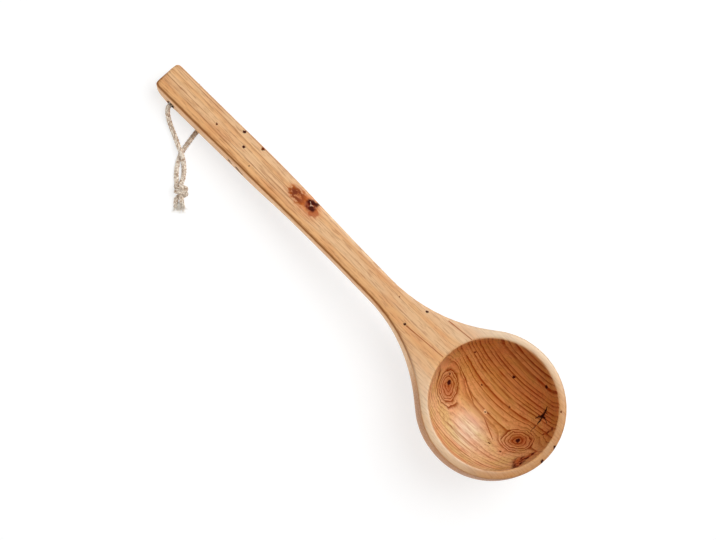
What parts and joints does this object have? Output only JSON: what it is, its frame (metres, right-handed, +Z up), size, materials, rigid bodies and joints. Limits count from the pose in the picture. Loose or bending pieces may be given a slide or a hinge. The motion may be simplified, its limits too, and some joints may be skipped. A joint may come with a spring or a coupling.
{
  "type": "sauna ladle",
  "caption": "Wooden sauna ladle with a deep round bowl, a flared neck and a long straight handle, and a knotted cotton cord through the handle's end to hang it by.",
  "frame": {"origin": "on the resting surface, under the middle of the wood's bounding box", "axes": "+X from the handle's end to the bowl, +Y across the bowl, +Z up as the ladle lies on a flat surface on its bowl and its handle's end"},
  "size_m": [0.3984, 0.1181, 0.0616],
  "materials": {
    "wood": "oiled, satin, with dark knots",
    "cord": "undyed cotton cord, matt"
  },
  "bodies": {
    "ladle": {"ladle_body": "wood"},
    "hanging_loop": {"hanging_cord": "cord"}
  },
  "joints": [
    {"name": "loop_swing", "type": "hinge", "parent": "ladle", "child": "hanging_loop", "pos_m": [-0.18024, 0, 0.00829], "axis": [0, 1, 0], "range_deg": [0, 300]}
  ]
}
